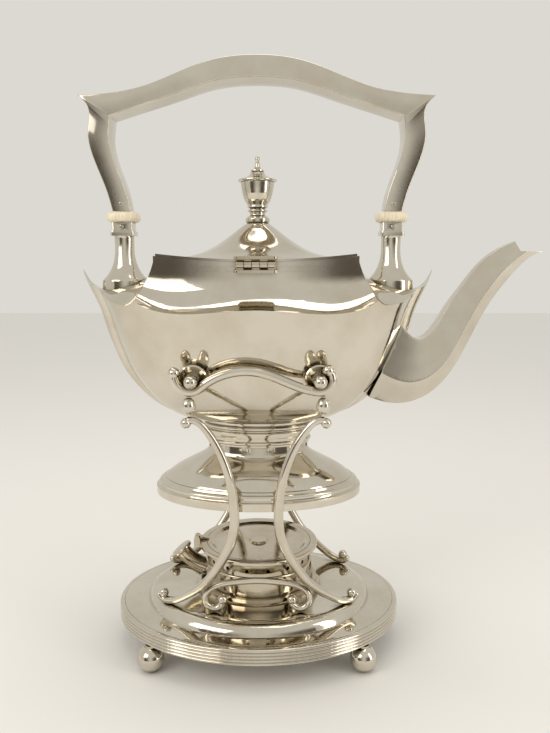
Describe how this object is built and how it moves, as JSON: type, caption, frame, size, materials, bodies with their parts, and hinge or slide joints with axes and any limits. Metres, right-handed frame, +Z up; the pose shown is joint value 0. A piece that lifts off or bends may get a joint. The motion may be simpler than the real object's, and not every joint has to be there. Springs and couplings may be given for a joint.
{
  "type": "spirit kettle on stand",
  "caption": "Oval faceted tea kettle with hinged lid, curved spout and fixed arched handle, hung by trunnions in a curved-leg stand over a spirit burner.",
  "frame": {"origin": "On the table, in the middle of the four ball feet, straight under the middle of the bowl and the burner.", "axes": "X runs from the plain end of the kettle to its spout, Y from the side with the lid's hinge to the other side, Z up."},
  "size_m": [0.2739, 0.138, 0.3491],
  "materials": {
    "silver": "polished silver, slightly warm, fine wear scratches",
    "insulator": "cream bone-like, satin",
    "wick": "woven cotton, matte"
  },
  "bodies": {
    "stand": {"base_plate": "silver", "base_rim": "silver", "foot_front_left": "silver", "foot_front_right": "silver", "foot_back_left": "silver", "foot_back_right": "silver", "burner_collar": "silver", "front_rail": "silver", "back_rail": "silver", "front_base_scroll": "silver", "back_base_scroll": "silver", "leg_front_left": "silver", "leg_front_right": "silver", "leg_back_left": "silver", "leg_back_right": "silver", "bead_front_left": "silver", "bead_front_right": "silver", "bead_back_left": "silver", "bead_back_right": "silver"},
    "burner": {"burner_font": "silver", "filler_tube": "silver", "wick_tube": "silver", "wick": "wick", "burner_gallery": "silver", "snuffer_hinge": "silver"},
    "snuffer": {"snuffer_cover": "silver"},
    "filler_cap": {"filler_cap": "silver"},
    "kettle": {"bowl": "silver", "shoulder_cover": "silver", "foot_collar": "silver", "kettle_foot": "silver", "foot_rim": "silver", "spout": "silver", "handle": "silver", "handle_pins": "silver", "insulator_left": "insulator", "insulator_right": "insulator", "socket_left": "silver", "socket_right": "silver", "trunnion_front_left": "silver", "trunnion_front_right": "silver", "trunnion_back_left": "silver", "trunnion_back_right": "silver", "body_hinge_leaf": "silver", "lid_hinge_pin": "silver"},
    "lid": {"lid": "silver", "lid_hinge_leaf": "silver", "finial_foot": "silver", "finial_urn": "silver", "finial_cap": "silver", "finial_nut": "silver"}
  },
  "joints": [
    {"name": "kettle_tilt", "type": "hinge", "parent": "stand", "child": "kettle", "pos_m": [0.0345, 0, 0.171], "axis": [0, 1, 0], "range_deg": [0, 60]},
    {"name": "lid_hinge", "type": "hinge", "parent": "kettle", "child": "lid", "pos_m": [0, -0.045, 0.2326], "axis": [1, 0, 0], "range_deg": [0, 95]},
    {"name": "burner_lift", "type": "slide", "parent": "stand", "child": "burner", "axis": [0, 0, 1], "range_m": [0, 0.012]},
    {"name": "snuffer_swing", "type": "hinge", "parent": "burner", "child": "snuffer", "pos_m": [-0.0389, 0, 0.06185], "axis": [0, -1, 0], "range_deg": [0, 45]},
    {"name": "filler_cap_pull", "type": "slide", "parent": "burner", "child": "filler_cap", "axis": [-0.6199, 0, 0.7847], "range_m": [0, 0.008]}
  ]
}
